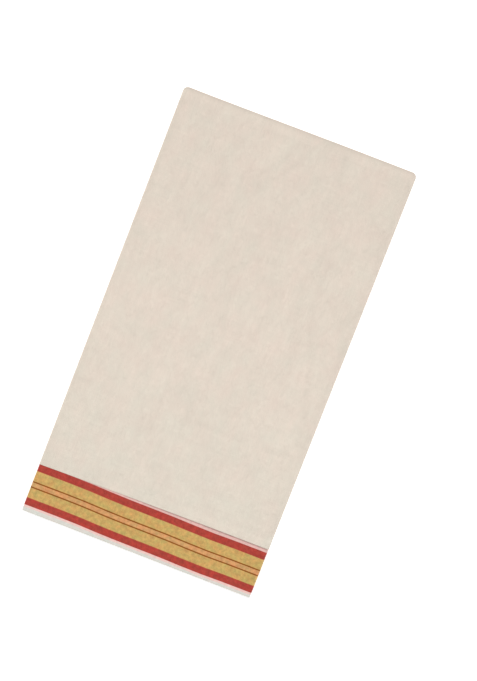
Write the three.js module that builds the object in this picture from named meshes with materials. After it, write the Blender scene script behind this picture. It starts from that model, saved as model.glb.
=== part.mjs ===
// A cotton sari folded flat, as it lies on a shelf or a table.
//
// One woven length of cloth, 1.14 m wide and 5.2 m long, with a striped border along one edge.
// It is folded in two ways:
//   1. across its width, at the far fold. The plain upper half stops just short of the lower
//      half's border, which shows with its selvedge at the near end.
//   2. along its length, in half four times, into sixteen panels. The last fold is the big round
//      one at the right. At the left the earlier folds lie on each other: a fat lobe of eight
//      panels, a thinner one of four, the two cut ends, and a small fold of two underneath.
//
// Frame, in millimetres: +X across the side folds, +Y from the border's selvedge to the far fold,
// +Z up. The origin is on the table, under the middle of the packet.

import * as THREE from "three";
import { mergeVertices } from "three/addons/utils/BufferGeometryUtils.js";

// Driving dimensions of the packet.
const PACK_LENGTH = 600; // along Y, from the selvedge to the far fold
const PACK_WIDTH = 328; // along X, at the far fold
const WIDTH_TAPER = 6; // how much narrower the packet is at the selvedge
const CORNER_RADIUS = 7; // seen from above, at the two corners of the far fold
const NEAR = -PACK_LENGTH / 2;
const FAR = PACK_LENGTH / 2;

// The cloth.
const CLOTH = 1; // wall of one stretch
const CLEAR = 0.3; // gap between neighbouring stretches
const BORDER_SETBACK = 64.8; // from the selvedge to the upper half's edge, at the left
const EDGE_DRIFT = 4; // how much further back that edge lies at the right
const BORDER_TUCK = 88; // from the selvedge to where the border stretch becomes a hidden layer
const CURL = 1.9; // radius of the small fold at the left of the underside
const DISH = 0.7; // how far the top sinks between the side folds

// The hidden layers: seven doubled ones above the middle and seven below.
const HIDDEN_LAYERS = 7;
const GROOVE = 1.1; // how deep the line between two layers goes in
const UNEVEN = 0.6; // how far one layer's edge stands out or in from the next
const END_INSET = 1; // the hidden layers' edges lie this far inside the packet's ends
const LIP_REACH = 2.2; // the outermost hidden layer stops short, under the turned far edge
const LOBE_INSET = 0.8; // the four-panel lobe lies this far in from the eight-panel one
const CUT_END_INSET = 4; // and the cut ends this far
const CUT_END_STEP = 1.6; // the lower cut end lies this much further in than the upper one
const LOBE_FOOT = 0.25; // the four-panel lobe starts at this share of the height

// Sections of the packet along Y. height is its thickness there, and cover is how far the border
// stretch lies under the outside: one wall and one gap where the upper half lies over it.
const SECTIONS = [
  { y: NEAR, height: 9.4, cover: 0 },
  { y: -282, height: 10.4, cover: 0 },
  { y: -266, height: 11.7, cover: 0 },
  { y: -252, height: 12.9, cover: 0 },
  { y: -239, height: 14.2, cover: CLOTH + CLEAR },
  { y: -212, height: 14.6, cover: CLOTH + CLEAR },
  { y: -130, height: 14.5, cover: 0 },
  { y: -30, height: 14.2, cover: 0 },
  { y: 80, height: 14.2, cover: 0 },
  { y: 180, height: 14.6, cover: 0 },
  { y: 250, height: 15, cover: 0 },
  { y: 285, height: 14.9, cover: 0 },
  { y: FAR, height: 14.2, cover: 0 },
];

// Rounded edges of a wall: step is the way in from the edge, and outer and inner are the depths
// of its two faces there.
const HEM = [
  { step: 0, outer: 0.32, inner: 0.68 },
  { step: 0.3, outer: 0.07, inner: 0.93 },
  { step: 0.65, outer: 0, inner: CLOTH },
];
const FAR_TURN = [
  { step: 2, outer: 0, inner: CLOTH },
  { step: 1.7, outer: 0, inner: 1.8 },
  { step: 0.6, outer: 0.35, inner: 1.6 },
  { step: 0, outer: 0.85, inner: 1.25 },
];
const BODY_STATIONS = [-212, -130, -30, 80, 180, 250, 285, 293, 296.4];

const CREAM = { color: 0xe2d6c8, roughness: 0.92, metalness: 0 };
const GOLD_BORDER = { color: 0xcca865, roughness: 0.7, metalness: 0.1 };

const mix = (a, b, share) => a + (b - a) * share;
const radians = (degrees) => (degrees * Math.PI) / 180;

// Height, cover and half width of the packet at y.
function sectionAt(y) {
  const last = SECTIONS.length - 1;
  let i = SECTIONS.findIndex((row) => row.y >= y);
  i = i < 0 ? last : Math.max(i, 1);
  const [a, b] = [SECTIONS[i - 1], SECTIONS[i]];
  const share = (y - a.y) / (b.y - a.y);
  const intoCorner = Math.min(Math.max(y - (FAR - CORNER_RADIUS), 0), CORNER_RADIUS);
  const cornerInset = CORNER_RADIUS - Math.sqrt(CORNER_RADIUS ** 2 - intoCorner ** 2);
  const narrowing = (WIDTH_TAPER * (FAR - y)) / PACK_LENGTH;
  return {
    height: mix(a.height, b.height, share),
    cover: mix(a.cover, b.cover, share),
    halfWidth: (PACK_WIDTH - narrowing) / 2 - cornerInset,
  };
}

// The outside of the packet, seen along Y, is one path of five legs: up round the fat lobe at
// the left, over the top, down round the last fold at the right, back along the underside, and up
// the small fold. A stop is a place on a leg, and place() gives its x and z at a depth below the
// outside.
const legStops = (leg, steps, from = 0, to = 1) =>
  Array.from({ length: steps + 1 }, (_, i) => ({ leg, share: mix(from, to, i / steps) }));

function place(stop, y, depth) {
  const { height, halfWidth } = sectionAt(y);
  const lobe = height / 4;
  const turn = height / 2;
  const round = (x, z, radius, degrees) => ({
    x: x + radius * Math.cos(radians(degrees)),
    z: z + radius * Math.sin(radians(degrees)),
  });
  switch (stop.leg) {
    case "lobe":
      return round(-halfWidth + lobe, 3 * lobe, lobe - depth, 270 - 180 * stop.share);
    case "top":
      return {
        x: mix(-halfWidth + lobe, halfWidth - turn, stop.share),
        z: height - depth - DISH * Math.sin(Math.PI * stop.share) ** 2,
      };
    case "side":
      return round(halfWidth - turn, turn, turn - depth, 90 - 180 * stop.share);
    case "bottom":
      return { x: mix(halfWidth - turn, -halfWidth + CURL, stop.share), z: depth };
    default: // the small fold
      return round(-halfWidth + CURL, CURL, CURL - depth, 270 - 90 * stop.share);
  }
}

const OVER_STOPS = [
  ...legStops("lobe", 6),
  ...legStops("top", 12).slice(1),
  ...legStops("side", 8).slice(1),
];
const SEAM = 0.001; // share of the underside that stays open as the gap at the big fold
const UNDER_STOPS = [...legStops("bottom", 6, SEAM), ...legStops("curl", 3).slice(1)];
const UNDER_BORDER_STOPS = legStops("bottom", 6, SEAM);

// A closed mesh from points and triangles, turned to face outwards.
function closedMesh(name, points, triangles, look) {
  const raw = new THREE.BufferGeometry();
  raw.setAttribute("position", new THREE.Float32BufferAttribute(points.flat(), 3));
  raw.setIndex(triangles.flat());
  const merged = mergeVertices(raw, 1e-4);
  const at = merged.getAttribute("position");
  const corner = (i) => new THREE.Vector3().fromBufferAttribute(at, i);
  const kept = [];
  let volume = 0;
  for (let i = 0; i < merged.index.count; i += 3) {
    const face = [0, 1, 2].map((k) => merged.index.getX(i + k));
    if (new Set(face).size < 3) continue; // it collapsed where points meet
    const [a, b, c] = face.map(corner);
    volume += a.dot(b.cross(c)) / 6;
    kept.push(face);
  }
  merged.setIndex((volume < 0 ? kept.map(([a, b, c]) => [a, c, b]) : kept).flat());
  const flat = merged.toNonIndexed();
  flat.computeVertexNormals();
  const mesh = new THREE.Mesh(flat, new THREE.MeshStandardMaterial(look));
  mesh.name = name;
  return mesh;
}

// Triangles between two rows of point numbers.
const strip = (from, to) =>
  from.slice(1).flatMap((_, i) => [
    [from[i], from[i + 1], to[i + 1]],
    [from[i], to[i + 1], to[i]],
  ]);

// A stretch of cloth: a wall that follows the stops, from station to station. A station gives, for
// each stop, its y and the depths of the wall's two faces.
function stretch(name, stops, stations, look) {
  const points = [];
  const rings = stations.map((station) => {
    const rows = ["outer", "inner"].map((face) =>
      stops.map((stop) => {
        const s = station(stop);
        const p = place(stop, s.y, s[face]);
        return points.push([p.x, s.y, p.z]) - 1;
      }),
    );
    return { outer: rows[0], inner: rows[1] };
  });
  const loop = ({ outer, inner }) => [...outer, ...inner.slice().reverse(), outer[0]];
  const last = rings[rings.length - 1];
  const triangles = [
    ...strip(rings[0].inner, rings[0].outer),
    ...rings.slice(1).flatMap((ring, i) => strip(loop(rings[i]), loop(ring))),
    ...strip(last.outer, last.inner),
  ];
  return closedMesh(name, points, triangles, look);
}

// The upper half's edge runs a little askew to the border.
function upperEdge(stop) {
  const { x } = place(stop, NEAR + BORDER_SETBACK, 0);
  const across = Math.min(Math.max(x / PACK_WIDTH + 0.5, 0), 1);
  return NEAR + BORDER_SETBACK + EDGE_DRIFT * Math.sin((Math.PI / 2) * across);
}

const upperHalfStations = [
  ...HEM.map(({ step, outer, inner }) => (stop) => ({ y: upperEdge(stop) + step, outer, inner })),
  ...BODY_STATIONS.map((y) => () => ({ y, outer: 0, inner: CLOTH })),
  ...FAR_TURN.map(({ step, outer, inner }) => () => ({ y: FAR - step, outer, inner })),
];

// The border stretch, from its selvedge to where it disappears under the upper half.
const borderStations = [
  ...HEM.map(({ step, outer, inner }) => () => ({ y: NEAR + step, outer, inner })),
  ...SECTIONS.filter(({ y }) => y > NEAR && y <= NEAR + BORDER_TUCK).map(
    ({ y, cover }) =>
      () => ({ y, outer: cover, inner: cover + CLOTH }),
  ),
];

// How far under the outside the hidden layers start.
function hiddenDepth(y) {
  const underBorder = y <= NEAR + BORDER_TUCK + CLEAR;
  return CLOTH + CLEAR + (underBorder ? sectionAt(y).cover : 0);
}

// Rows across the hidden layers, from the middle (0) to the outside (1): a groove, then the two
// shoulders of a layer's rounded edge.
const ROWS = Array.from({ length: 3 * HIDDEN_LAYERS + 1 }, (_, index) => {
  const layer = Math.floor(index / 3);
  const part = index % 3;
  return { index, layer, groove: part === 0, share: (layer + [0, 0.3, 0.7][part]) / HIDDEN_LAYERS };
});

// The left edge of the hidden layers, row by row. Above the middle come the stem that joins the
// fat lobe to the rest, then the inside of the lobe; below it the four-panel lobe, then the cut
// ends, the lower one further in.
const STEM_ROWS = 3;
const LOBE_ROWS = 12;
const UPPER_END_ROWS = 17;

function leftEdge(y, { index }, lower) {
  const { height, halfWidth } = sectionAt(y);
  const depth = hiddenDepth(y);
  const middle = height / 2;
  const stem = -halfWidth + height / 4 + CLEAR;
  const arc = (x, z, radius, degrees) => ({
    x: x + radius * Math.cos(radians(degrees)),
    z: z + radius * Math.sin(radians(degrees)),
  });
  if (!lower) {
    if (index < STEM_ROWS) return { x: stem, z: middle + (depth * index) / STEM_ROWS };
    const turned = (index - STEM_ROWS) / (ROWS.length - 1 - STEM_ROWS);
    return arc(-halfWidth + height / 4, 1.5 * middle, height / 4 - depth, 270 - 180 * turned);
  }
  if (index < 2) return { x: stem, z: middle - CLEAR * index };
  const foot = LOBE_FOOT * height;
  if (index < LOBE_ROWS) {
    const radius = (middle - CLEAR - foot) / 2;
    const turned = (index - 2) / (LOBE_ROWS - 3);
    return arc(-halfWidth + LOBE_INSET + radius, foot + radius, radius, 90 + 180 * turned);
  }
  const inset = CUT_END_INSET + (index < UPPER_END_ROWS ? 0 : CUT_END_STEP);
  const down = (index - LOBE_ROWS) / (ROWS.length - 1 - LOBE_ROWS);
  return { x: -halfWidth + inset, z: mix(foot, depth, down) };
}

// How far a layer's edge stands back from the packet's end: some stand out, some in.
function standBack(row, lower) {
  const turn = row.layer * 2.4 + (lower && row.index ? 1.1 : 0);
  return END_INSET + UNEVEN * Math.sin(turn) + (row.groove ? GROOVE : 0);
}

// The hidden layers, as one rounded solid with its layers showing at the edges. They turn round
// the last fold as the stretches outside them do, so a column of rows is straight at the top and
// underside and fans out at the right.
function hiddenLayers(name, look) {
  const columns = [
    ...legStops("top", 12),
    ...legStops("side", 8).slice(1),
    ...legStops("bottom", 12).slice(1),
  ];
  const [firstColumn, lastColumn] = [columns[0], columns.at(-1)];
  const points = [];
  const put = (column, row, y) => {
    const atLeft = column === firstColumn || column === lastColumn;
    if (atLeft) {
      const { x, z } = leftEdge(y, row, column === lastColumn);
      return points.push([x, y, z]) - 1;
    }
    const { height, halfWidth } = sectionAt(y);
    const middle = height / 2;
    const outside = place(column, y, hiddenDepth(y));
    const hub = halfWidth - middle;
    const stem = -halfWidth + height / 4 + CLEAR;
    const along = column.leg === "top" ? column.share : 1 - column.share;
    const x = column.leg === "side" ? mix(hub, outside.x, row.share) : mix(stem, hub, along);
    return points.push([x, y, mix(middle, outside.z, row.share)]) - 1;
  };
  // An end face: a grid of columns and rows, ridged by the layers' edges. At the far end the
  // outermost layer and the lobe stop short, under the turned edges of the stretches.
  const endFace = (end, inwards) =>
    columns.map((column) => {
      const lower = column.leg === "bottom" || (column.leg === "side" && column.share > 0.5);
      return ROWS.map((row) => {
        const besideLobe = column === firstColumn || (column === lastColumn && !row.index);
        const underLip = besideLobe || row.share * HIDDEN_LAYERS >= HIDDEN_LAYERS - 1;
        const back = end === FAR && underLip ? LIP_REACH : standBack(row, lower);
        return put(column, row, end + inwards * back);
      });
    });
  const ringOf = (grid) => [
    ...grid.map((column) => column.at(-1)),
    ...grid.at(-1).slice(0, -1).reverse(),
    ...grid[0].slice(1),
  ];
  const ringAt = (y) => ringOf(columns.map((column) => ROWS.map((row) => put(column, row, y))));
  const tuckEnd = NEAR + BORDER_TUCK + CLEAR;
  const inside = [
    ...SECTIONS.filter(({ y }) => y > NEAR && y < tuckEnd).map(({ y }) => y),
    tuckEnd,
    tuckEnd + CLEAR,
    ...BODY_STATIONS.filter((y) => y > tuckEnd + CLEAR),
  ];
  const near = endFace(NEAR, 1);
  const far = endFace(FAR, -1);
  const rings = [ringOf(near), ...inside.map(ringAt), ringOf(far)];
  const triangles = [
    ...near.slice(1).flatMap((column, i) => strip(column, near[i])),
    ...rings.slice(1).flatMap((ring, i) => strip(rings[i], ring)),
    ...far.slice(1).flatMap((column, i) => strip(far[i], column)),
  ];
  return closedMesh(name, points, triangles, look);
}

const sari = new THREE.Group();
sari.add(
  stretch("top_stretch", OVER_STOPS, upperHalfStations, CREAM),
  stretch("under_stretch", UNDER_STOPS, upperHalfStations, CREAM),
  stretch("border_stretch", OVER_STOPS, borderStations, GOLD_BORDER),
  stretch("under_border_stretch", UNDER_BORDER_STOPS, borderStations, GOLD_BORDER),
  hiddenLayers("hidden_layers", CREAM),
);

export default sari;
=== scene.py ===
# %% [markdown]
# # A folded cotton sari
# A sari is one woven length of cloth, here 1.14 m wide and about 5.2 m long. Its ground is cream,
# and a striped border in brick red, old gold and peach runs along one long edge.
# It was folded once across its width and then in half four times along its length, so it lies as
# a flat packet of sixteen doubled panels, with the border showing at one end.

# %% Load the frame
import math
import random

import bpy
import numpy as np
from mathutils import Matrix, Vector


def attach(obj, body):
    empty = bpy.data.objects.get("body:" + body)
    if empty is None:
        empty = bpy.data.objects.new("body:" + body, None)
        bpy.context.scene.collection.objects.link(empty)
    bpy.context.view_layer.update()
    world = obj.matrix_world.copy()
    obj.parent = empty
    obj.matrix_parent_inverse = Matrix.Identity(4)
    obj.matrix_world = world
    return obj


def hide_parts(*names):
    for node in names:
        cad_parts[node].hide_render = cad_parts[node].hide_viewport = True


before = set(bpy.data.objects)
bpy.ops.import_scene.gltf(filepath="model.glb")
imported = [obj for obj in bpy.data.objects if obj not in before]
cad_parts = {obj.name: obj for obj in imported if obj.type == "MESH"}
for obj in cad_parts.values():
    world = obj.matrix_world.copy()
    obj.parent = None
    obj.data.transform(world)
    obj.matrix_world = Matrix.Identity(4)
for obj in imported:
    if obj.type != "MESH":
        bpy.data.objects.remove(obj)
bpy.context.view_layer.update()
print("nodes:", ", ".join(sorted(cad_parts)))

# %% [markdown]
# ## The camera
# The packet lies flat and is looked at from straight above, with its long side leaning to the
# right. A short lens close by would show its near parts larger. A long lens from a few metres up
# keeps its sides parallel, as a copy stand would. The camera comes first, so that every later
# step can be judged through it.

# %% Camera over the packet
PICTURE_LONG = 681  # pixels on the picture's long side
PIXEL = 0.0013155  # metres on the cloth for one pixel
LEAN = math.radians(21.2)
VIEW_HEIGHT = 2.6
CLOTH_HEIGHT = 0.012  # the pixel's size holds at this height
AIM_RIGHT, AIM_UP = 19.95 * PIXEL, 1.25 * PIXEL  # the picture's middle, seen from the packet's

image_right = Vector((math.cos(LEAN), math.sin(LEAN), 0))
image_up = Vector((-math.sin(LEAN), math.cos(LEAN), 0))
aim = AIM_RIGHT * image_right + AIM_UP * image_up

camera = bpy.data.objects.new("camera", bpy.data.cameras.new("camera"))
bpy.context.scene.collection.objects.link(camera)
camera.location = aim + Vector((0, 0, VIEW_HEIGHT))
camera.rotation_euler = (0, 0, LEAN)
seen_long = PICTURE_LONG * PIXEL
camera.data.lens = camera.data.sensor_width * (VIEW_HEIGHT - CLOTH_HEIGHT) / seen_long
camera.data.clip_end = 50
bpy.context.scene.camera = camera
print(f"camera at {VIEW_HEIGHT} m, lens {camera.data.lens:.0f} mm")

# %% [markdown]
# ## How the sari is folded
# Folding a strip in half four times stacks sixteen panels. Following the cloth from one cut end
# to the other visits them in a fixed order, turning at the right, then at the left, and so on.
# From that order alone come all the turns that the sides show: one big fold round everything at
# the right, and at the left a fat lobe of eight panels, a thinner one of four, the two cut ends
# and a small fold of two. So the packet is modelled by really folding a strip, rather than by
# drawing each layer.

# %% Sizes of the packet, in metres
LONG, WIDE, TAPER = 0.600, 0.328, 0.006  # the border end is TAPER narrower
NEAR, FAR = -LONG / 2, LONG / 2
PANELS = 16
PANEL_ORDER = [12, 3, 4, 11, 8, 7, 0, 15, 14, 1, 6, 9, 10, 5, 2, 13]  # 0 is on top
PANEL_PITCH = 0.325  # along the strip from one panel to the next
FLAT_RUN, TURN_RUN = 0.310, 0.015  # a panel's flat part, and the turn after it
THREAD_WALL = 0.00036  # one layer of cloth
LAYER_SHIFT = 0.00021  # each layer's middle lies this far from its panel's middle

# y and the packet's height there: thirty-two layers in the body, sixteen under the border
HEIGHTS = np.array([
    (-0.300, 0.0094), (-0.282, 0.0104), (-0.266, 0.0117), (-0.252, 0.0127), (-0.240, 0.0133),
    (-0.231, 0.0138), (-0.212, 0.0145), (-0.130, 0.0145), (-0.030, 0.0142), (0.080, 0.0142),
    (0.180, 0.0146), (0.250, 0.0150), (0.285, 0.0149), (0.300, 0.0142),
])

print("layers:", 2 * PANELS, "at the far fold,", PANELS, "at the selvedge")

# %% [markdown]
# ### Where each panel lies
# The panels share the packet's height evenly, so a panel's height follows from its number. Each
# left fold turns round a point of its own, because a lobe of eight panels is fatter than a fold
# of two. Written as functions of y, these places also follow the packet as it gets thinner
# and narrower towards the border.

# %% Places of the panels
def height(y):
    return np.interp(y, HEIGHTS[:, 0], HEIGHTS[:, 1])


def half_width(y):
    return (WIDE - TAPER * (FAR - y) / LONG) / 2


def left_hub(panel, y):
    """x of the point that a panel's left fold turns round, or of its cut end."""
    edge, tall = -half_width(y), height(y)
    if panel <= 7:  # in the fat lobe
        return edge + tall / 4
    if panel <= 11:  # in the lobe of four, set a little further in
        return edge + 0.0008 + tall / 8
    if panel >= 14:  # in the small fold of two
        return edge + 0.0003 + tall / 16
    return edge + (0.0040 if panel == 12 else 0.0056)  # the two cut ends


def panel_level(panel, y):
    return height(y) * (1 - (panel + 0.5) / PANELS)


def smooth(value, start, end):
    """0 before start, 1 after end, and a soft rise between."""
    t = np.clip((value - start) / (end - start), 0, 1)
    return t * t * (3 - 2 * t)


print("one panel at the far fold, mm:", round(1000 * float(height(FAR)) / PANELS, 2))

# %% [markdown]
# ### Stops along the strip
# A stop is a place on the strip, seen along the packet. It is either on a flat panel or on the
# half circle that joins one panel to the next. Each stop knows its place and which way the
# cloth's good side faces there, for any section of the packet. Sections could be drawn by hand,
# but a stop gives any of them at once, and all of them fit together.

# %% Stops
def panel_stops(index, count):
    """Stops on the panel at this place in the order, from its first end to its last."""
    return [("flat", index, i / count) for i in range(count + 1)]


def turn_stops(index, count):
    """Stops on the turn after the panel at this place in the order."""
    return [("turn", index, i / count) for i in range(1, count)]


def spot(stop, y):
    """x, z and the facing of the good side at a stop, for the sections at y."""
    kind, index, share = stop
    panel = PANEL_ORDER[index]
    rightwards = index % 2 == 0
    right_hub = half_width(y) - height(y) / 2
    if kind == "flat":
        t = share if rightwards else 1 - share
        x = left_hub(panel, y) * (1 - t) + right_hub * t
        face = 1.0 if rightwards else -1.0
        return x, panel_level(panel, y), 0 * y, face + 0 * y
    follows = PANEL_ORDER[index + 1]
    top, bottom = panel_level(panel, y), panel_level(follows, y)
    goes_down = panel < follows
    hub = right_hub if rightwards else left_hub(panel, y)
    if rightwards:
        degrees = 90 - 180 * share if goes_down else -90 + 180 * share
    else:
        degrees = 90 + 180 * share if goes_down else 270 - 180 * share
    outside = 1.0 if goes_down == rightwards else -1.0
    c, s = math.cos(math.radians(degrees)), math.sin(math.radians(degrees))
    radius = abs(top - bottom) / 2
    x, z = hub + radius * c, (top + bottom) / 2 + radius * s
    return x, z, outside * c + 0 * y, outside * s + 0 * y


def strip_length(stop):
    """How far along the strip a stop is, roughly, from the first cut end."""
    kind, index, share = stop
    run = FLAT_RUN * share if kind == "flat" else FLAT_RUN + TURN_RUN * share
    return PANEL_PITCH * index + run


print("panels:", len(PANEL_ORDER), "turns:", len(PANEL_ORDER) - 1)

# %% [markdown]
# ### The profile across the width
# Across its width the cloth goes from the plain edge, along the upper layer, round the far fold
# and back along the lower layer to the selvedge. The two layers lie beside each other in every
# panel. A profile is a list of points: y, and how far the layer's middle lies from the panel's
# middle. One profile serves every stop, so the cloth keeps the same width all along the strip.

# %% Profiles
PLAIN_EDGE = NEAR + 0.0648  # where the upper half stops
TURN_Y = FAR - LAYER_SHIFT - THREAD_WALL / 2
ALONE_TO, DOUBLED_FROM = NEAR + 0.038, NEAR + 0.062  # the lower layer moves down between these


def upper_layer(stations):
    return [(y, LAYER_SHIFT) for y in stations]


def far_turn(count=6):
    angles = [math.pi * (0.5 - i / count) for i in range(count + 1)]
    return [(TURN_Y + LAYER_SHIFT * math.cos(a), LAYER_SHIFT * math.sin(a)) for a in angles]


def lower_layer(stations):
    """Under the upper layer, and in the panel's middle where the border lies alone."""
    return [(y, -LAYER_SHIFT * float(smooth(y, ALONE_TO, DOUBLED_FROM))) for y in stations]


def cloth_from_selvedge(profile):
    """Distance from the selvedge for each point, in metres, as measured on the cloth."""
    points = np.array(profile)
    steps = np.hypot(*np.diff(points, axis=0).T)
    run = np.concatenate([[0], np.cumsum(steps)])
    last_y, last_shift = points[-1]
    if last_shift > 0:
        return (last_y - NEAR) + 0 * run
    return (last_y - NEAR) + run[-1] - run


print("upper half stops short of the selvedge, mm:", round(1000 * (PLAIN_EDGE - NEAR), 1))

# %% [markdown]
# ### Swell of the packet
# A pressed packet is never quite flat: it swells a little near its folds and sinks between them.
# A Displace modifier on each piece could do that, but then the layers would cut through each
# other. Here the swell scales every layer's height together, so no layer passes its neighbour.

# %% Swell
def relief(x, y):
    """Height to add at x, y to the top of the packet, in metres."""
    xm, ym = x * 1000, y * 1000
    total = 0.22 * np.sin(xm / 37 + 0.6) * np.sin(ym / 61 + 1.1) + 0.16 * np.sin(xm / 23 - ym / 83)
    middle = np.clip(1 - (np.abs(xm) / 150) ** 4, 0, 1)
    calm = smooth(np.abs(xm), 162, 140) * smooth(ym, 300, 286) * smooth(ym, -300, -285)
    return 0.001 * (total * calm - 0.5 * middle)


print("swell at the middle, mm:", round(1000 * float(relief(0.0, 0.0)), 2))

# %% [markdown]
# ### Creases of the top layer
# Cloth remembers how it was folded before. Long faint creases run along the packet, one slants to
# the right side, and short sharp ones cross it near the sides. Where two troughs lie close, the
# cloth between them rises in a ridge. They could be sculpted, but a list can be read, and each
# crease can be moved by itself. The top layer lies loose, a third of a millimetre above the next
# one, and that is the room in which the troughs sink. The same creases are also painted into the
# colour, as painted shade in the troughs and painted highlight on the ridges, on the top layer and,
# turned about, on the underside.

# %% Creases
# Each crease: start x, y, end x, y, depth and half width, in millimetres. Minus depth is a ridge.
CREASES = [
    # along the packet, from left to right
    (-147, 112, -145, -16, 0.28, 3.2),
    (-117, 194, -117, 146, 0.50, 4.4),
    (-59, 66, -58, -42, 0.26, 2.6),
    (-54, 114, -54, -24, -0.28, 2.6),
    (-39, 120, -40, 62, 0.30, 2.8),
    (-62, -156, -61, -225, 0.28, 2.8),
    (-41, -86, -41, -152, 0.50, 2.8),
    (-9, 188, -9, 104, 0.32, 3.4),
    (-2, 102, -12, -10, 0.42, 3.2),
    (4, 110, 1, 30, -0.28, 2.8),
    (-1, 12, -2, -64, -0.26, 2.8),
    (9, -16, 9, -77, 0.38, 3.2),
    (-4, -92, -2, -150, 0.55, 5.0),
    (3, -162, 2, -216, 0.24, 3.0),
    (47, 58, 41, -10, 0.34, 3.2),
    (30, 40, 29, -52, -0.28, 3.2),
    (42, -150, 42, -208, 0.30, 3.0),
    (69, 292, 70, 248, 0.60, 4.0),
    (109, 48, 112, -30, -0.30, 3.4),
    (125, -56, 126, -104, -0.30, 3.4),
    (120, -158, 121, -222, 0.32, 3.2),
    (157, 90, 156, 34, 0.32, 3.0),
    # the slanting one at the right, in three stretches
    (97, 152, 103, 60, 0.30, 3.2),
    (103, 64, 124, 14, 0.62, 4.6),
    (123, 16, 149, -92, 0.56, 4.4),
    # across the packet, from the far end to the near one
    (-164, 243, -136, 244, 0.75, 3.4),
    (18, 140, 44, 141, 0.45, 3.8),
    (0, 117, 32, 118, 0.42, 3.2),
    (88, 35, 118, 35, 0.55, 3.0),
    (2, -43, 92, -50, 0.20, 2.4),
    (-164, -70, -138, -71, 0.70, 3.0),
    (140, -91, 164, -92, 0.60, 3.0),
    (-164, -111, -138, -112, 0.75, 3.0),
    (14, -112, 70, -111, 0.62, 3.6),
    (104, -111, 140, -107, 0.56, 3.6),
    (-110, -117, -74, -118, 0.22, 3.2),
    (-124, -153, -96, -153, 0.34, 2.8),
    (114, -186, 160, -168, 0.30, 3.4),
    # slanting ones at the far end
    (-36, 224, -1, 286, -0.55, 5.8),
    (-24, 198, 20, 268, 0.40, 4.8),
    (50, 148, 86, 177, -0.26, 4.6),
    (84, 177, 134, 136, -0.26, 4.6),
    (-50, 166, -42, 138, 0.55, 6.4),
    (-84, 222, -70, 190, 0.45, 6.0),
    (-140, 242, -134, 204, -0.34, 5.2),
]
LOOSE = 0.35  # how far the top layer stands above the next one, in millimetres


def crease_height(x, y):
    """Height of the creases at x, y in millimetres: above 0 on a ridge, below 0 in a trough."""
    xm, ym = x * 1000, y * 1000
    total = 0 * xm
    for x0, y0, x1, y1, depth, wide in CREASES:
        long = math.hypot(x1 - x0, y1 - y0)
        along = ((xm - x0) * (x1 - x0) + (ym - y0) * (y1 - y0)) / long
        bend = 1.2 * np.sin(along / 19 + x0)
        off = ((xm - x0) * (y1 - y0) - (ym - y0) * (x1 - x0)) / long + bend
        fade = 0.16 * long
        ends = smooth(along, -fade, fade) * (1 - smooth(along, long - fade, long + fade))
        total = total - depth * np.exp(-((off / wide) ** 2)) * ends
    return total


def loose_top(x, y):
    """How far the top layer stands off the next one for its creases, in metres."""
    room = smooth(np.abs(x), 0.158, 0.146) * smooth(y, 0.297, 0.284)
    room = room * smooth(y, PLAIN_EDGE, PLAIN_EDGE + 0.020)
    return 0.001 * room * np.maximum(LOOSE + crease_height(x, y), 0)


print("creases:", len(CREASES))

# %% [markdown]
# ### Uneven edges
# No one folds sixteen panels exactly on top of each other. Each panel's far fold and selvedge
# stands in or out by up to a millimetre or two, in slow waves that follow the strip, and the
# layers sag a little between the folds. The corners of the far fold are rounded, because the
# cloth is bent both ways there. Points could be pushed about by hand, but seeded random numbers
# give every layer its own edge and the same packet at every run.

# %% Waves and slants of the edges
CORNER, NEAR_CORNER = 0.007, 0.0012  # radius of the far fold's corners and of the near ones
WAVE_SPAN = 2.6  # metres of the strip over which a wave's number of swings is counted

rng = random.Random(11)


def wave_table(strongest):
    """Six waves: how often each swings, where it starts and how strong it is."""
    return [
        (rng.uniform(2, 9), rng.uniform(0, 6.28), rng.uniform(0.1, strongest)) for _ in range(6)
    ]


NEAR_WAVES, FAR_WAVES = wave_table(0.45), wave_table(0.35)


def waves(table, along):
    """A slow wave between about -1 and 1, for a place along the strip in metres."""
    return sum(a * math.sin(2 * math.pi * f * along / WAVE_SPAN + p) for f, p, a in table)


def corner_drop(x, y, radius):
    """How far a rounded corner lies inside a square one."""
    into = np.clip(np.abs(x) - (half_width(y) - radius), 0, radius)
    return radius - np.sqrt(radius**2 - into**2)


def edge_drift(x):
    """The plain edge lies a little askew to the border."""
    across = np.clip(x / WIDE + 0.5, 0, 1)
    return 0.0040 * np.sin(math.pi / 2 * across)


def far_slant(x):
    """The far fold was laid slightly askew too: the left side is the shorter one."""
    return 0.0018 * smooth(x, 0.120, -0.160)


print("waves in the near and far edges:", len(NEAR_WAVES), len(FAR_WAVES))

# %% [markdown]
# ### From the even packet to the real one
# Everything so far is a perfectly even packet. One function then moves every point of it a
# little: edges in or out, corners round, layers sagging, the whole leaning to one side. Because
# each layer goes through the same function, neighbours move together and stay apart.

# %% Warp
OUT_OF_SQUARE = 0.0023  # the packet's long sides lean this much to the right


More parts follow.
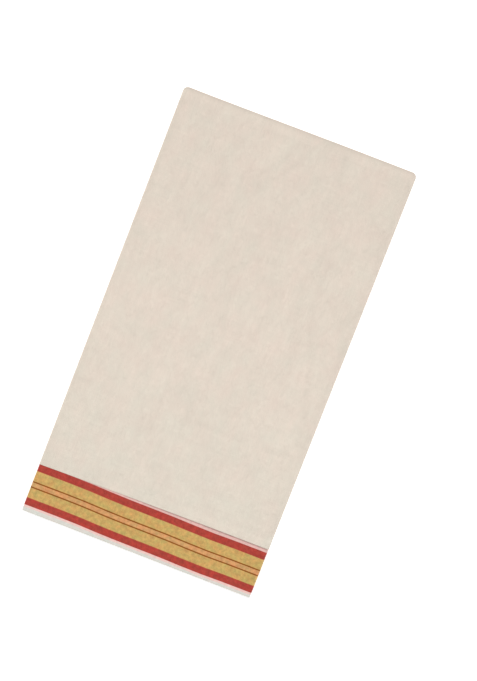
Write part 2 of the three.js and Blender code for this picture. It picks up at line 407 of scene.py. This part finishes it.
def warp(x, y, z, along, upper, inner):
    """Moves points from the even packet to the real one. upper is 1 on the plain upper layer, and
    inner is 0 on the outermost panels."""
    near_wave, far_wave = waves(NEAR_WAVES, along), waves(FAR_WAVES, along)
    stand_in = max(inner * (0.0011 + 0.0009 * near_wave) + 0.00025 * far_wave, 0)
    fold_in = max(inner * (0.0008 + 0.0008 * far_wave), 0)
    far = smooth(y, 0.262, 0.2995)
    near = 1 - smooth(y, NEAR, NEAR + 0.03)
    moved = y - far * (corner_drop(x, y, CORNER) + fold_in + far_slant(x))
    moved = moved + near * (corner_drop(x, y, NEAR_CORNER) + stand_in)
    drift = edge_drift(x) + 0.0012 * inner * waves(NEAR_WAVES, along + 0.7)
    moved = moved + upper * drift * (1 - smooth(y, PLAIN_EDGE, PLAIN_EDGE + 0.05))
    tall = height(y)
    sag = 0.00045 * np.sin(math.pi * z / tall) * (np.sin(x * 31 + 1) + 0.6 * np.sin(x * 74 + 9 * y))
    fan = 0.00016 * np.sin(2 * math.pi * z / tall) * np.sin(x * 53 + 2)
    z = z + sag + fan
    return x + OUT_OF_SQUARE * moved, moved, z * (1 + relief(x, moved) / tall)


print("lean over the whole length, mm:", round(1000 * OUT_OF_SQUARE * LONG, 1))

# %% [markdown]
# ### Small marks of handling, and painted shade on the folds
# Pressing pulled the border slightly out of line. The plain edge is loose at one side and stands a
# little off the border, where it casts a thin shadow. The folds are painted a little darker:
# painted shade where the cloth turns round and away from the light. Each mark is a small function
# of the place, kept apart from the cloth maker, so it can be changed without touching the folding.

# %% Bow, lift and painted fold shade
def border_bow(x):
    """How far the border was pulled towards the near end when it was pressed, in metres."""
    # in millimetres, from left to right
    places = [-165, -145, -116, -87, -58, -29, 0, 29, 58, 87, 116, 145, 165]
    shifts = [-1.1, -1.2, -1.4, -1.2, -0.3, 0.1, 0.1, 0.2, 0.8, 1.1, 0.5, 0.3, 0.3]
    return 0.001 * np.interp(1000 * x, places, shifts)


def edge_lift(x, y):
    """The plain edge is loose at the middle and right, and stands a little off the border."""
    loose = smooth(x, -0.100, 0.010) * (0.85 + 0.15 * np.sin(x * 43))
    rise = 0.0011 + 0.0005 * smooth(x, 0.000, 0.040)
    return rise * loose * (1 - smooth(y, PLAIN_EDGE, PLAIN_EDGE + 0.016))


def painted_fold_shade(stop, y):
    """1 on the far fold and a little on the side folds, where painted shade darkens the cloth as it
    turns away from the light.
    """
    kind, index, share = stop
    from_turn = 0.0 if kind == "turn" else FLAT_RUN * min(share, 1 - share)
    side = 0.15 * math.exp(-((from_turn / 0.003) ** 2))
    far = 0.88 * np.exp(-(((FAR - y) / 0.003) ** 2)) + 0.12 * np.exp(-(((FAR - y) / 0.012) ** 2))
    return np.maximum(side, far)


print("bow of the border at the left, mm:", round(1000 * float(border_bow(-WIDE / 2)), 1))

# %% [markdown]
# ### From profile to cloth
# Every visible piece of cloth is made the same way: a grid of points, one row for each stop and
# one column for each point of the profile, on both faces of the thin cloth, with the rims
# closed. A plane with a Solidify modifier would be quicker, but it couldn't hold the order of
# the folds. The grid's place on the flat cloth is kept as a UV map in metres, so the weave and
# the stripes follow the cloth round every fold at their true size.

# %% Points of a sheet
RIM_SHARE = 0.55  # of the cloth's thickness is left at its very rim, which rounds it


def profile_normals(profile):
    points = np.array(profile)
    tangent = np.gradient(points, axis=0)
    tangent /= np.linalg.norm(tangent, axis=1)[:, None]
    return np.stack([tangent[:, 1], -tangent[:, 0]], axis=1)


def sheet_points(stops, profile, cloth, inner, lift):
    """Points on both faces of a sheet, and for each its place on the cloth, its painted fold shade
    and the height of its creases, which is painted as shade.
    """
    mid, normal = np.array(profile), profile_normals(profile)
    upper = 1.0 * (mid[:, 1] > 0)
    ends = np.ones(len(profile))
    ends[[0, -1]] = RIM_SHARE
    verts, uvs, fold_shade, crease_shade = [], [], [], []
    for side in (1, -1):
        thick = side * THREAD_WALL / 2 * ends
        ys, shifts = mid[:, 0] - thick * normal[:, 0], mid[:, 1] - thick * normal[:, 1]
        for stop in stops:
            along = strip_length(stop)
            x, z, nx, nz = spot(stop, ys)
            stands_off = lift * (edge_lift(x, ys) + loose_top(x, ys))
            out = shifts + stands_off * upper * np.clip(nz, 0, 1)
            x, y, z = warp(x + nx * out, ys, z + nz * out, along, upper, inner)
            verts.extend(zip(x, y, z))
            uvs.extend(zip([along] * len(profile), cloth + border_bow(x)))
            fold_shade.extend(painted_fold_shade(stop, ys))
            # on the underside the creases are painted shade and highlight only, with no relief
            # under them
            over = np.where(nz > 0, x, -x)  # the underside has similar creases, turned about
            crease_shade.extend((1 - inner) * np.abs(nz) * crease_height(over, y))
    return verts, uvs, fold_shade, crease_shade


print("one layer of cloth, mm:", round(1000 * THREAD_WALL, 2))

# %% [markdown]
# ### Faces of a sheet
# The points of the two sides are numbered row by row, so four neighbours make one face. The
# second side's faces run the other way round, because their front has to look outwards. Four
# strips of faces close the rims: a sheet with open rims would have no thickness at its edge.

# %% Faces of a sheet
def sheet_faces(base, rows, cols):
    """The faces between two grids of points, and the four rims. base is the first point."""
    faces = []
    last_row, last_col = rows - 1, cols - 1

    def quad(*corners):
        faces.append(tuple(base + (side * rows + r) * cols + c for side, r, c in corners))

    for r in range(last_row):
        for c in range(last_col):
            quad((0, r, c), (0, r + 1, c), (0, r + 1, c + 1), (0, r, c + 1))
            quad((1, r, c + 1), (1, r + 1, c + 1), (1, r + 1, c), (1, r, c))
    for r in range(last_row):
        quad((1, r, 0), (1, r + 1, 0), (0, r + 1, 0), (0, r, 0))
        quad((0, r, last_col), (0, r + 1, last_col), (1, r + 1, last_col), (1, r, last_col))
    for c in range(last_col):
        quad((0, 0, c), (0, 0, c + 1), (1, 0, c + 1), (1, 0, c))
        quad((1, last_row, c), (1, last_row, c + 1), (0, last_row, c + 1), (0, last_row, c))
    return faces


print("faces of a sheet of 2 by 2 points:", len(sheet_faces(0, 2, 2)))

# %% [markdown]
# ### The cloth maker
# The maker joins its sheets into one mesh and hands it to the frame, where it rides on the part's
# only body. The painted fold shade and the heights of the creases are kept on the points as plain
# numbers, so the material can turn them into painted shade and highlight later, and no picture has
# to be painted.

# %% The cloth maker
def cloth_mesh(name, verts, faces, uvs, traits):
    """A smooth mesh, with its place on the cloth and the numbers kept for each point."""
    mesh = bpy.data.meshes.new(name)
    mesh.from_pydata([tuple(map(float, v)) for v in verts], [], faces)
    layer = mesh.uv_layers.new(name="cloth")
    corner = np.empty(len(mesh.loops), dtype=np.int32)
    mesh.loops.foreach_get("vertex_index", corner)
    layer.data.foreach_set("uv", np.array(uvs, dtype=np.float32)[corner].ravel())
    for trait, values in traits.items():
        column = mesh.attributes.new(trait, "FLOAT", "POINT")
        column.data.foreach_set("value", np.array(values, dtype=np.float32))
    mesh.polygons.foreach_set("use_smooth", [True] * len(mesh.polygons))
    mesh.update()
    return mesh


def make_cloth(name, parts, inner, lift=0.0):
    """parts is a list of (stops, profile, distance from the selvedge), each a sheet of its own."""
    verts, faces, uvs, fold_shade, crease_shade = [], [], [], [], []
    for stops, profile, cloth in parts:
        faces.extend(sheet_faces(len(verts), len(stops), len(profile)))
        made = sheet_points(stops, profile, cloth, inner, lift)
        for kept, new in zip((verts, uvs, fold_shade, crease_shade), made):
            kept.extend(new)
    mesh = cloth_mesh(name, verts, faces, uvs, {"painted_fold_shade": fold_shade, "crease": crease_shade})
    piece = bpy.data.objects.new(name, mesh)
    bpy.context.scene.collection.objects.link(piece)
    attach(piece, "root")
    print(f"{name}: {len(faces)} faces")
    return piece


print("each piece of cloth will ride on: root")

# %% [markdown]
# ## Finishes
# The ground is plain-weave cotton: warp and weft of the same cream yarn, each a little uneven.
# Scanned pictures of cloth could be wrapped round it, but they would stretch and repeat. Nodes
# that start from the cloth's own coordinates give threads of the right size everywhere. A few
# helpers come first, so that each finish can be written as a short sum.

# %% Node helpers
def new_material(name):
    material = bpy.data.materials.new(name)
    material.use_nodes = True
    tree = material.node_tree
    shader = tree.nodes["Principled BSDF"]
    return material, tree, shader


def connect(tree, value, socket):
    if isinstance(value, bpy.types.NodeSocket):
        tree.links.new(value, socket)
    else:
        socket.default_value = value


def math_node(tree, operation, *values):
    node = tree.nodes.new("ShaderNodeMath")
    node.operation = operation
    for value, socket in zip(values, node.inputs):
        connect(tree, value, socket)
    return node.outputs[0]


def remap(tree, value, low, high, to_low, to_high):
    node = tree.nodes.new("ShaderNodeMapRange")
    for v, socket in zip((value, low, high, to_low, to_high), node.inputs):
        connect(tree, v, socket)
    return node.outputs[0]


def noise(tree, along, across, scale, detail=2.0, rough=0.5):
    """Noise on the cloth. along and across are the sizes of a patch, in metres."""
    place = tree.nodes.new("ShaderNodeUVMap")
    place.uv_map = "cloth"
    stretch = tree.nodes.new("ShaderNodeMapping")
    stretch.inputs["Scale"].default_value = (1 / along, 1 / across, 1)
    tree.links.new(place.outputs[0], stretch.inputs[0])
    node = tree.nodes.new("ShaderNodeTexNoise")
    node.noise_dimensions = "2D"
    node.inputs["Scale"].default_value = scale
    node.inputs["Detail"].default_value = detail
    node.inputs["Roughness"].default_value = rough
    tree.links.new(stretch.outputs[0], node.inputs["Vector"])
    return node.outputs["Fac"]


print("helpers: material, math, remap and noise on the cloth")

# %% [markdown]
# ### The weave
# In a plain weave each thread passes over one crossing thread and under the next, like a
# chessboard. The sign of two sines multiplied gives the board, and the sines themselves round
# the threads. Modelling every thread would be too heavy, and a bump shows them as well. Colours
# come next: they are picked as levels on a screen and turned into light, which nodes take.

# %% Weave, and colours as light
THREAD_PITCH = 0.00043  # from one thread to the next


def weave(tree):
    """Height of a plain weave, 0 to 1, and the distance from the selvedge."""
    place = tree.nodes.new("ShaderNodeUVMap")
    place.uv_map = "cloth"
    split = tree.nodes.new("ShaderNodeSeparateXYZ")
    tree.links.new(place.outputs[0], split.inputs[0])
    distance = split.outputs[1]
    along = math_node(tree, "MULTIPLY", split.outputs[0], math.pi / THREAD_PITCH)
    across = math_node(tree, "MULTIPLY", distance, math.pi / THREAD_PITCH)
    a, b = math_node(tree, "SINE", along), math_node(tree, "SINE", across)
    over = math_node(tree, "GREATER_THAN", math_node(tree, "MULTIPLY", a, b), 0.0)
    under = math_node(tree, "SUBTRACT", 1.0, over)
    warp_yarn = math_node(tree, "MULTIPLY", math_node(tree, "ABSOLUTE", a), over)
    weft_yarn = math_node(tree, "MULTIPLY", math_node(tree, "ABSOLUTE", b), under)
    return math_node(tree, "ADD", warp_yarn, weft_yarn), distance


def light(v):
    """A level on a screen, 0 to 255, turned into an amount of light."""
    return (v / 255) / 12.92 if v < 11 else ((v / 255 + 0.055) / 1.055) ** 2.4


def linear(r, g, b):
    return (light(r), light(g), light(b), 1.0)


print("threads in a centimetre:", round(0.01 / THREAD_PITCH))

# %% [markdown]
# ### The colours of the border
# From the selvedge inwards: a pale strip where the loom holds the cloth, a red stripe, a gold
# band, a thin brown line, a peach stripe, a thin brown line, a second gold band and a second red
# stripe. Beside each red stripe a few pinker yarns soften the change to the pale ground. Threads
# of each colour lie side by side, so one band ends and the next begins within a thread or two.
# A painted picture would blur there. A colour ramp over the distance from the selvedge stays
# sharp, and a stripe is widened by changing one number.

# %% Bands of the border
CREAM = linear(237, 225, 210)
SELVEDGE = linear(233, 228, 219)
PINK = linear(254, 212, 203)
RED = linear(185, 68, 57)
GOLD = linear(219, 179, 107)
BROWN = linear(150, 78, 0)
PEACH = linear(226, 168, 110)
BLUSH = linear(242, 198, 190)

# name, colour, where it ends in millimetres from the selvedge, share of metal thread
BANDS = [
    ("selvedge", SELVEDGE, 4.4, 0.0),
    ("pink", PINK, 7.2, 0.0),
    ("red", RED, 17.2, 0.0),
    ("gold", GOLD, 30.9, 1.0),
    ("line", BROWN, 32.6, 0.3),
    ("peach", PEACH, 38.3, 0.3),
    ("line", BROWN, 40.0, 0.3),
    ("gold", GOLD, 54.1, 1.0),
    ("red", RED, 64.2, 0.0),
    ("blush", BLUSH, 71.8, 0.0),
    ("cream", CREAM, 90.0, 0.0),
]
RAMP_REACH = 0.090  # metres from the selvedge
BLEND = 0.18  # half the width over which one band turns into the next, in millimetres


def band_ramp(tree, distance, pick):
    """A colour ramp over the border. pick gives each band's colour."""
    ramp = tree.nodes.new("ShaderNodeValToRGB")
    tree.links.new(math_node(tree, "DIVIDE", distance, RAMP_REACH), ramp.inputs[0])
    stops = ramp.color_ramp.elements
    places = []
    start = 0.0
    for band in BANDS:
        end = band[2]
        places.append((start + BLEND if start else 0.0, pick(band)))
        places.append((end - BLEND, pick(band)))
        start = end
    while len(stops) < len(places):
        stops.new(1.0)
    for stop, (place, colour) in zip(stops, places):
        stop.position = place / (RAMP_REACH * 1000)
    for stop, (place, colour) in zip(stops, places):
        stop.color = colour
    return ramp.outputs[0]


print("bands:", ", ".join(band[0] for band in BANDS))

# %% [markdown]
# ### Shade and hue of the cloth
# Handloom cotton is never one even colour. Thick and thin yarns streak it finely, and pressing and
# damp leave patches a few centimetres across. On top of that, painted shade is multiplied in:
# between the threads, in the crumple lines, towards the far fold and on the folds, and in the
# creases, whose ridges are painted lighter. All of it is a few parts in a hundred. Mixing in other
# colours is hard to keep that weak, so each noise only multiplies the colour by a number near one.

# %% Shade of the cloth
def times(tree, *values):
    product = values[0]
    for value in values[1:]:
        product = math_node(tree, "MULTIPLY", product, value)
    return product


def crumple(tree, along, across):
    """0 in the crumple lines and 1 between them. along and across are the sizes of a cell."""
    off = math_node(tree, "SUBTRACT", noise(tree, along, across, 1.0, 2.5, 0.58), 0.5)
    between = remap(tree, math_node(tree, "ABSOLUTE", off), 0.0, 0.2, 0.0, 1.0)
    return math_node(tree, "POWER", between, 1.5)


def mesh_value(tree, trait):
    """A number kept on the mesh for each of its points."""
    node = tree.nodes.new("ShaderNodeAttribute")
    node.attribute_name = trait
    return node.outputs["Fac"]


def from_far_fold(tree, distance):
    """Distance from the far fold on the cloth, on either side of it."""
    return math_node(tree, "ABSOLUTE", math_node(tree, "SUBTRACT", distance, LONG))


def cloth_shade(tree, distance, threads, slubs):
    """How light the cloth's colour is from place to place, around 1: its own tone, with painted
    shade and highlight multiplied in.
    """
    mottle = noise(tree, 0.011, 0.017, 1.0, 4.0, 0.7)
    patches = noise(tree, 0.034, 0.060, 1.0, 2.0, 0.6)
    return times(
        tree,
        remap(tree, slubs, 0.4, 1.6, 0.962, 1.04),
        remap(tree, mottle, 0.2, 0.8, 0.975, 1.022),
        # painted shade: the crumple lines are darker
        remap(tree, crumple(tree, 0.010, 0.028), 0.0, 0.6, 0.986, 1.006),
        remap(tree, patches, 0.2, 0.8, 0.972, 1.024),
        # painted shade: darker towards the far fold
        remap(tree, from_far_fold(tree, distance), 0.0, 0.30, 0.967, 1.003),
        # painted shade on the folds
        remap(tree, mesh_value(tree, "painted_fold_shade"), 0.0, 1.0, 1.0, 0.865),
        # painted shade and highlight of the creases: troughs darker, ridges lighter
        remap(tree, mesh_value(tree, "crease"), -1.0, 1.0, 0.95, 1.05),
        # painted shade between the threads of the weave
        remap(tree, threads, 0.0, 1.0, 0.90, 1.04),
    )


def cloth_warmth(tree, distance):
    """Above 0 the cloth is pinker, below 0 greener."""
    hues = noise(tree, 0.026, 0.036, 1.0, 2.0, 0.6)
    drift = remap(tree, from_far_fold(tree, distance), 0.32, 0.53, 0.007, -0.009)
    return math_node(tree, "ADD", remap(tree, hues, 0.2, 0.8, -0.0175, 0.0175), drift)


print("shade: eight factors around 1; warmth: patches and a slow drift")

# %% [markdown]
# ### Dyed and metal yarns
# The border's yarns take dye unevenly, and gold yarn is a flat thread wound round a core, so it
# glints and dulls from one millimetre to the next. On the gold bands these glints and dull patches
# are painted into the colour as painted highlight and shade; on the other stripes the same
# unevenness is dye. This is a coarser and stronger unevenness than the ground's. A second colour
# ramp says how strong it is in each band: full on the dyed and gold stripes, and weak on the pale
# ones, where it would look like dirt.

# %% Yarns of the border
# how strong the dye unevenness and the painted glints are on the pale bands; all other bands take 1
DYE_AND_GLINT_STRENGTH = {"cream": 0.3, "selvedge": 0.3, "pink": 0.4, "blush": 0.4}


def as_grey(value):
    return (value, value, value, 1.0)


def border_yarns(tree, distance, shade, warmth):
    """Shade and warmth again, with the unevenness of the border's yarns: dye on the stripes, and
    painted glints on the gold.
    """
    dye_and_glint = band_ramp(tree, distance, lambda band: as_grey(DYE_AND_GLINT_STRENGTH.get(band[0], 1.0)))
    yarns = noise(tree, 0.0052, 0.0054, 1.0, 3.0, 0.66)
    lots = noise(tree, 0.0105, 0.0080, 1.0, 1.0)
    # on the gold bands this is painted highlight and shade of the glinting thread; elsewhere it is
    # dye
    uneven = times(tree, dye_and_glint, remap(tree, yarns, 0.25, 0.75, -0.20, 0.20))
    shade = times(tree, shade, math_node(tree, "ADD", 1.0, uneven))
    dye = times(tree, dye_and_glint, remap(tree, lots, 0.25, 0.75, -0.075, 0.075))
    return shade, math_node(tree, "ADD", warmth, dye)


def metal_yarn(tree, shader, distance):
    """Gold yarn is a little metallic, and smoother than cotton."""
    metal = band_ramp(tree, distance, lambda band: as_grey(band[3]))
    tree.links.new(times(tree, metal, 0.22), shader.inputs["Metallic"])
    glint = remap(tree, noise(tree, 0.0011, 0.0006, 1.0, 1.0), 0.3, 0.7, 0.25, 0.42)
    rough = math_node(tree, "SUBTRACT", 0.88, times(tree, metal, glint))
    tree.links.new(rough, shader.inputs["Roughness"])


print("bands of even dye:", ", ".join(DYE_AND_GLINT_STRENGTH))

# %% [markdown]
# ### Relief too small to model
# Two bumps lie on each other. The first is crumple: soft branching lines about a centimetre
# apart, left by folding and unfolding. The second is the weave itself. A crumple line is where a
# noise crosses its middle value, and a power of the distance from there rounds its bottom.
# Real geometry this fine would need millions of faces, and bump shades almost the same.

# %% Relief of the cloth
CRUMPLE_DEPTH, WEAVE_DEPTH = 0.00038, 0.00012


def bump(tree, height_value, strength, distance, under=None):
    node = tree.nodes.new("ShaderNodeBump")
    node.inputs["Strength"].default_value = strength
    node.inputs["Distance"].default_value = distance
    tree.links.new(height_value, node.inputs["Height"])
    if under:
        tree.links.new(under, node.inputs["Normal"])
    return node.outputs[0]


def cloth_relief(tree, shader, threads, slubs):
    crumpled = bump(tree, crumple(tree, 0.013, 0.026), 1.0, CRUMPLE_DEPTH)
    woven = math_node(tree, "ADD", threads, times(tree, slubs, 0.8))
    tree.links.new(bump(tree, woven, 0.6, WEAVE_DEPTH, crumpled), shader.inputs["Normal"])


print("crumple and weave, mm:", round(1000 * CRUMPLE_DEPTH, 2), round(1000 * WEAVE_DEPTH, 2))

# %% [markdown]
# ### The two materials
# Ground and border are one cloth, so they share threads, slubs, shade and relief. Only the
# colour differs, and the dyed and metal yarns come on top. One function makes both, and they
# meet without a seam. Slubs are stretched noise: long thick stretches of yarn, one thread wide,
# running both ways. A little sheen stands for the fine fibres on the yarn.

# %% Cotton materials
def tinted(tree, colour, shade, warmth):
    """The colour times the shade, with red raised and green and blue lowered by the warmth."""
    factor = tree.nodes.new("ShaderNodeCombineColor")
    for share, socket in zip((1.0, -0.6, -0.4), factor.inputs):
        lean = math_node(tree, "MULTIPLY_ADD", warmth, share, 1.0)
        tree.links.new(times(tree, shade, lean), socket)
    mix = tree.nodes.new("ShaderNodeMix")
    mix.data_type, mix.blend_type = "RGBA", "MULTIPLY"
    mix.inputs["Factor"].default_value = 1.0
    connect(tree, colour, mix.inputs["A"])
    tree.links.new(factor.outputs[0], mix.inputs["B"])
    return mix.outputs["Result"]


def cotton(name, bordered):
    material, tree, shader = new_material(name)
    threads, distance = weave(tree)
    along_slubs = noise(tree, 0.065, 0.0007, 1.0, 1.0)
    across_slubs = noise(tree, 0.0007, 0.040, 1.0, 1.0)
    slubs = math_node(tree, "ADD", along_slubs, across_slubs)
    shade = cloth_shade(tree, distance, threads, slubs)
    warmth = cloth_warmth(tree, distance)
    colour = CREAM
    if bordered:
        colour = band_ramp(tree, distance, lambda band: band[1])
        shade, warmth = border_yarns(tree, distance, shade, warmth)
        metal_yarn(tree, shader, distance)
    else:
        tree.links.new(remap(tree, slubs, 0.4, 1.6, 0.94, 0.84), shader.inputs["Roughness"])
    tree.links.new(tinted(tree, colour, shade, warmth), shader.inputs["Base Color"])
    cloth_relief(tree, shader, threads, slubs)
    shader.inputs["Sheen Weight"].default_value = 0.12
    shader.inputs["Sheen Roughness"].default_value = 0.5
    shader.inputs["Specular IOR Level"].default_value = 0.25
    return material


plain_cotton = cotton("cream_cotton", bordered=False)
border_cotton = cotton("border_cotton", bordered=True)
print("materials:", plain_cotton.name, border_cotton.name)

# %% [markdown]
# ## The stretches that show
# The top stretch is the upper half of the cloth. It comes round the fat lobe at the left, crosses
# the top and goes down round the last fold. Under its edge lies the lower half with the border.
# The same two lie on the underside. Stops and stations are close where the cloth bends or
# creases and far apart where it is flat and hidden, which saves faces.

# %% Stations and stops
CREASE_STEP = 0.0032  # stations this close show the creases


def even(start, end, step):
    count = max(1, round(abs(end - start) / step))
    return [start + (end - start) * i / count for i in range(count + 1)]


def rim(start, towards):
    """Close stations at a rim, so that it shades as a rounded edge."""
    sign = 1 if towards > start else -1
    return [start, start + sign * 0.00015, start + sign * 0.0006]


plain_stations = rim(PLAIN_EDGE, FAR)[:2]
plain_stations += even(PLAIN_EDGE + 0.0006, 0.262, CREASE_STEP)
plain_stations += even(0.265, TURN_Y - 0.0004, CREASE_STEP)
plain_profile = upper_layer(plain_stations) + far_turn()
plain_profile += lower_layer(even(TURN_Y - 0.001, 0.270, 0.006))
border_stations = even(0.2695, -0.20, 0.04) + even(-0.206, NEAR + 0.0025, 0.004)
border_profile = lower_layer(border_stations + rim(NEAR, FAR)[::-1])
plain_cloth = cloth_from_selvedge(plain_profile)
border_cloth = cloth_from_selvedge(border_profile)

top_at, under_at = PANEL_ORDER.index(0), PANEL_ORDER.index(15)
over_stops = [("turn", top_at - 1, i / 12) for i in range(12)]
over_stops += panel_stops(top_at, 175) + turn_stops(top_at, 14) + [("turn", top_at, 1.0)]
under_stops = [("flat", under_at, 0.0006)] + panel_stops(under_at, 40)[1:]
under_stops += turn_stops(under_at, 9) + [("turn", under_at, 1.0)]
print("plain edge to selvedge on the cloth, mm:", round(1000 * plain_cloth[0]))
print("stops over the top and under the packet:", len(over_stops), len(under_stops))

# %% [markdown]
# ### Make the four that show
# Each stretch is a run of stops with one profile, so the maker needs only those two. The top one
# alone is lifted at its edge and loose enough for creases. Every piece stands for one solid of the
# CAD model, which is then hidden, and gets its finish.

# %% Stretches of cloth
top = make_cloth("top_plain_half", [(over_stops, plain_profile, plain_cloth)], 0.0, lift=1.0)
border = make_cloth("top_border_half", [(over_stops, border_profile, border_cloth)], 0.0)
under = make_cloth("under_plain_half", [(under_stops, plain_profile, plain_cloth)], 0.0)
under_border = make_cloth("under_border_half", [(under_stops, border_profile, border_cloth)], 0.0)

for piece, node, finish, slot in (
    (top, "top_stretch", plain_cotton, "cotton"),
    (border, "border_stretch", border_cotton, "border"),
    (under, "under_stretch", plain_cotton, "cotton"),
    (under_border, "under_border_stretch", border_cotton, "border"),
):
    piece.data.materials.append(finish)
    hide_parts(node)

# %% [markdown]
# ## The hidden layers
# The other fourteen panels can only be seen by their edges: rounded folds at the far end,
# selvedges at the near end, and turns and cut ends at the left. Lines drawn on a block could
# stand for them, but a block looks dead from the side. So they are folded too, as two runs of
# the same strip, one before and one after the stretches that show. Both layers of the cloth are
# in one profile.

# %% Hidden layers
def layer_run(first, last):
    """Stops from one panel of the order to another, with the turns between."""
    stops = []
    for index in range(first, last + 1):
        stops += panel_stops(index, 13)
        if index < last:
            stops += turn_stops(index, 8)
    return stops


doubled_profile = upper_layer(
    rim(PLAIN_EDGE, FAR) + even(-0.20, 0.24, 0.055) + even(0.262, TURN_Y - 0.0006, 0.012)
)
doubled_profile += far_turn()
doubled_profile += lower_layer(
    even(TURN_Y - 0.0006, 0.262, 0.012)
    + even(0.24, -0.20, 0.055)
    + even(-0.22, NEAR + 0.004, 0.012)
    + rim(NEAR, FAR)[::-1]
)
doubled_cloth = cloth_from_selvedge(doubled_profile)
runs = [layer_run(0, top_at - 1), layer_run(under_at + 1, PANELS - 1)]
hidden_parts = [(run, doubled_profile, doubled_cloth) for run in runs]
hidden = make_cloth("hidden_layers_cloth", hidden_parts, 1.0)
hidden.data.materials.append(border_cotton)
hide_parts("hidden_layers")

# %% [markdown]
# ## What the cloth was cut to
# Each piece is part of one flat cloth. Its size before folding is known, because the maker above
# only bends the cloth and never stretches it. Along the strip it is the length of the run of
# stops, and across the strip it is the length of the profile.


# %% [markdown]
# Each piece is thin cloth, held in shape by its folds.

print("pieces of cloth: the four that show, and the hidden layers")

# %% [markdown]
# ## The floor
# The packet lies on a plain white surface. A bare white floor would still look grey under soft
# light, so this one glows faintly, and the cloth stands out against clean white. It is no piece of
# the part.

# %% Floor
FLOOR_REACH, FLOOR_DROP = 6.0, 0.0002

floor_mesh = bpy.data.meshes.new("floor")
floor_corners = [
    (x * FLOOR_REACH, y * FLOOR_REACH, -FLOOR_DROP) for x, y in ((-1, -1), (1, -1), (1, 1), (-1, 1))
]
floor_mesh.from_pydata(floor_corners, [], [(0, 1, 2, 3)])
floor = bpy.data.objects.new("floor", floor_mesh)
bpy.context.scene.collection.objects.link(floor)
floor_finish, floor_tree, floor_shader = new_material("white_table")
floor_shader.inputs["Base Color"].default_value = (0.9, 0.9, 0.9, 1)
floor_shader.inputs["Roughness"].default_value = 0.9
floor_shader.inputs["Emission Color"].default_value = (1, 1, 1, 1)
floor_shader.inputs["Emission Strength"].default_value = 0.50
floor_mesh.materials.append(floor_finish)
print("floor, m across:", 2 * FLOOR_REACH)

# %% [markdown]
# ## The light
# Even, soft light comes from all round, and a little more from beyond the far end. Hard light
# would show every thread. Soft light hides them and shows colours truly, which is how cloth is
# shown for sale, and the stronger side still draws the thin shadow under the loose edge.

# %% Light
world = bpy.data.worlds.new("soft_room")
world.use_nodes = True
world.node_tree.nodes["Background"].inputs["Color"].default_value = (1, 1, 1, 1)
world.node_tree.nodes["Background"].inputs["Strength"].default_value = 0.67
bpy.context.scene.world = world

key = bpy.data.objects.new("soft_window", bpy.data.lights.new("soft_window", "SUN"))
key.data.energy = 1.36
key.data.angle = math.radians(14)
key.rotation_euler = Vector((0.12, -1.0, -0.92)).to_track_quat("-Z", "Y").to_euler()
bpy.context.scene.collection.objects.link(key)
bpy.context.scene.view_settings.view_transform = "Standard"
print("world and one soft window")
